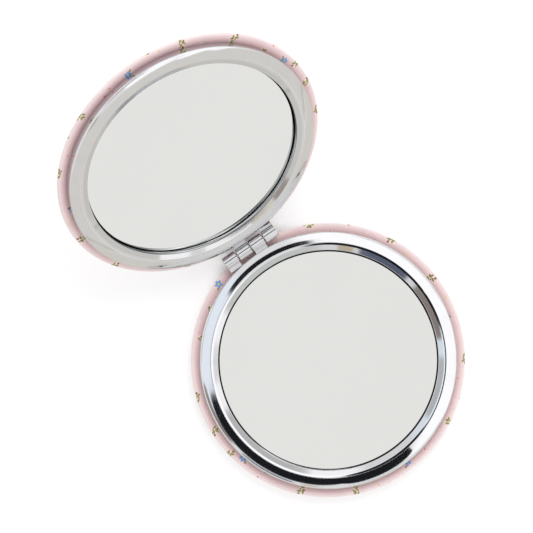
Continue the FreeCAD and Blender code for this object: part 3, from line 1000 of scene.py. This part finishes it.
def studio_world(stage):
    """White to camera and mirrors, an even light on everything, and a studio in the chrome's reflections.

    The studio is white with cards hung in it. A card is a rounded box in heading h and angle a from the pole:
    ((h - middle) / half)^4 + ((a - middle) / half)^4 < 1. The mirrors' reflections are perfectly sharp, which
    tells them from the chrome's.
    """
    world = bpy.data.worlds.new("studio")
    world.use_nodes = True
    world.node_tree.nodes.clear()
    w = Wiring(world.node_tree)
    path = w.node("ShaderNodeLightPath").outputs
    toward = w.node("ShaderNodeTexCoord").outputs["Generated"]
    turned = w.node("ShaderNodeMapping", {"Vector": toward}, vector_type="TEXTURE")
    turned.inputs["Rotation"].default_value = overhead_axes(stage)
    hung = turned.outputs[0]
    steep = w.math("DEGREES", w.math("ARCCOSINE", w.math("MULTIPLY", w.split(hung)[2], -1.0)))
    shown = linear(WHITE)
    for card in CARDS:
        x, y, _ = w.split(w.turned(hung, -math.radians(card.heading)))
        aside = w.math("DEGREES", w.math("ARCTAN2", y, x))
        across = w.math("DIVIDE", aside, card.half_width)
        middle = (card.low + card.high) / 2
        along = w.math("DIVIDE", w.math("SUBTRACT", steep, middle), (card.high - card.low) / 2)
        inside = w.math("ADD", w.math("POWER", across, 4.0), w.math("POWER", along, 4.0))
        mask = w.blend(inside, 1.0 + card.soft, 1.0 - card.soft)
        shown = w.mix(mask, shown, glowing(card.colour, card.strength))
    blurred = w.math("SUBTRACT", path["Is Glossy Ray"], path["Is Singular Ray"])
    tone = w.mix(blurred, linear(WHITE), shown)
    strength = w.math("ADD", w.math("MULTIPLY", seen_rays(w, path), 1.0 - stage.sky), stage.sky)
    light = w.node("ShaderNodeBackground", {"Color": tone, "Strength": strength})
    w.node("ShaderNodeOutputWorld", {"Surface": light.outputs[0]})
    return world


def floor_finish(stage):
    """White floor, partly its own light and partly lit, so that shadows show softly.

    Its own light is white to the camera and the mirrors, and a warm grey in the chrome. It fades where the
    part stands close round it, so that narrow slots look dark.
    """
    material, w = bare_material("floor")
    path = w.node("ShaderNodeLightPath").outputs
    open_sky = w.node("ShaderNodeAmbientOcclusion", {"Distance": SLOT_WIDTH}, samples=8).outputs["AO"]
    sharp = w.math("MAXIMUM", path["Is Camera Ray"], path["Is Singular Ray"])
    glow = w.mix(sharp, FLOOR_IN_CHROME, glowing(stage.floor, FLOOR_OWN))
    own = w.node("ShaderNodeEmission", {"Color": glow, "Strength": w.blend(open_sky, *SLOT_OPEN)})
    lit = w.node("ShaderNodeBsdfDiffuse", {"Color": glowing(stage.floor, FLOOR_LIT)})
    plain = w.node("ShaderNodeBsdfDiffuse", {"Color": glowing(stage.floor, FLOOR_THROWN)})
    both = w.node("ShaderNodeAddShader", {0: own.outputs[0], 1: lit.outputs[0]})
    made = w.node("ShaderNodeMixShader", {0: seen_rays(w, path), 1: plain.outputs[0], 2: both.outputs[0]})
    w.node("ShaderNodeOutputMaterial", {"Surface": made.outputs[0]})
    return material


def black_card(stage):
    """A black card hung close over the lying half, which its ring reflects and the mirrors don't show.

    In the studio's own frame it is a rounded box in heading and reach, |u|^4 + |v|^4 = 1, on the plane at the
    card's height: (reach cos heading, reach sin heading, height). Smaller rings of that shape fill it.
    """
    count, rings = CARD_GRID
    around = np.linspace(0, TAU, count, endpoint=False)
    u = np.sign(np.cos(around)) * np.sqrt(np.abs(np.cos(around)))
    v = np.sign(np.sin(around)) * np.sqrt(np.abs(np.sin(around)))
    scale = np.linspace(0, 1, rings)[:, None]
    heading = stage.card_heading + stage.card_spread * scale * u
    reach = (stage.card_far + stage.card_near) / 2 + (stage.card_far - stage.card_near) / 2 * scale * v
    height = np.full_like(reach, -stage.card_height)
    local = np.stack([reach * np.cos(heading), reach * np.sin(heading), height], 2)
    axes = np.array(overhead_axes(stage).to_matrix())
    points = local.reshape(-1, 3) @ axes.T + (0, 0, HINGE.z)
    i, j = np.meshgrid(np.arange(rings - 1) * count, np.arange(count), indexing="ij")
    k = (j + 1) % count
    quads = np.stack([i + j, i + k, i + count + k, i + count + j], 2).reshape(-1, 4)
    mesh = bpy.data.meshes.new("black_card")
    mesh.from_pydata(points.tolist(), [], quads.tolist())
    card = bpy.data.objects.new("black_card", mesh)
    card.visible_camera = False
    card.visible_diffuse = False
    card.visible_transmission = False
    card.visible_shadow = False
    material, w = bare_material("black_card")
    glow = w.node("ShaderNodeEmission", {"Color": linear(BLACK)})
    clear = w.node("ShaderNodeBsdfTransparent")
    sharp = w.node("ShaderNodeLightPath").outputs["Is Singular Ray"]
    made = w.node("ShaderNodeMixShader", {0: sharp, 1: glow.outputs[0], 2: clear.outputs[0]})
    w.node("ShaderNodeOutputMaterial", {"Surface": made.outputs[0]})
    set_finish(card, material)
    return card


def hang_lamp(context, name, watts, place):
    """A soft disc of light that faces the part, and that only lights: cards take its place in reflections."""
    lamp = bpy.data.lights.new(name, "AREA")
    lamp.energy = watts
    lamp.shape = "DISK"
    lamp.size = context.scene.compact_stage.lamp_size
    hung = bpy.data.objects.new(name, lamp)
    hung.location = place
    hung.rotation_euler = (-Vector(place)).to_track_quat("-Z", "Y").to_euler()
    hung.visible_camera = False
    hung.visible_glossy = False
    context.scene.collection.objects.link(hung)


class COMPACT_OT_stage(bpy.types.Operator):
    """Make the floor, the light and the camera"""

    bl_idname = "compact.stage"
    bl_label = "Stage"

    def execute(self, context):
        stage = context.scene.compact_stage
        half = stage.floor_size / 2
        mesh = bpy.data.meshes.new("floor")
        corners = np.array([[-1, -1], [1, -1], [1, 1], [-1, 1]]) * half
        points = np.concatenate([corners, np.full((4, 1), -FLOOR_DROP)], 1)
        mesh.from_pydata(points.tolist(), [], [[0, 1, 2, 3]])
        floor = bpy.data.objects.new("floor", mesh)
        context.scene.collection.objects.link(floor)
        set_finish(floor, floor_finish(stage))

        card = black_card(stage)
        context.scene.collection.objects.link(card)

        context.scene.world = studio_world(stage)
        hang_lamp(context, "soft_lamp", stage.lamp, stage.lamp_place)
        hang_lamp(context, "fill_lamp", stage.fill, stage.fill_place)

        camera = bpy.data.cameras.new("camera")
        camera.sensor_width = FILM_WIDTH
        camera.lens = stage.lens
        camera.clip_start = 0.01
        camera.clip_end = 50
        stand = bpy.data.objects.new("camera", camera)
        stand.location = stage.camera_place
        stand.rotation_euler = stage.camera_turn
        context.scene.collection.objects.link(stand)
        context.scene.camera = stand
        context.scene.view_settings.view_transform = "Standard"
        return {"FINISHED"}


OPERATORS = (
    COMPACT_OT_covers,
    COMPACT_OT_padding,
    COMPACT_OT_frames,
    COMPACT_OT_mirrors,
    COMPACT_OT_hinge_pin,
    COMPACT_OT_layers,
    COMPACT_OT_stage,
)
SETTINGS = {
    "compact_covers": CoverSettings,
    "compact_metal": MetalSettings,
    "compact_layers": LayerSettings,
    "compact_stage": StageSettings,
}


class COMPACT_PT_finishes(bpy.types.Panel):
    """Sidebar panel that lists the settings and the steps"""

    bl_idname = "COMPACT_PT_finishes"
    bl_label = "Compact mirror"
    bl_space_type = "VIEW_3D"
    bl_region_type = "UI"
    bl_category = "Compact"

    def draw(self, context):
        for holder, kind in SETTINGS.items():
            box = self.layout.box()
            for name in kind.__annotations__:
                box.prop(getattr(context.scene, holder), name)
        for operator in OPERATORS:
            self.layout.operator(operator.bl_idname)


def register():
    """Adds the settings, the steps and the panel."""
    for kind in (*SETTINGS.values(), *OPERATORS, COMPACT_PT_finishes):
        bpy.utils.register_class(kind)
    for holder, kind in SETTINGS.items():
        setattr(bpy.types.Scene, holder, bpy.props.PointerProperty(type=kind))


def unregister():
    """Takes them away again."""
    for holder in SETTINGS:
        delattr(bpy.types.Scene, holder)
    for kind in reversed((*SETTINGS.values(), *OPERATORS, COMPACT_PT_finishes)):
        bpy.utils.unregister_class(kind)


def main():
    """Runs the steps in order."""
    register()
    bpy.ops.compact.covers()
    bpy.ops.compact.padding()
    bpy.ops.compact.frames()
    bpy.ops.compact.mirrors()
    bpy.ops.compact.hinge_pin()
    bpy.ops.compact.layers()
    bpy.ops.compact.stage()


if __name__ == "__main__":
    main()
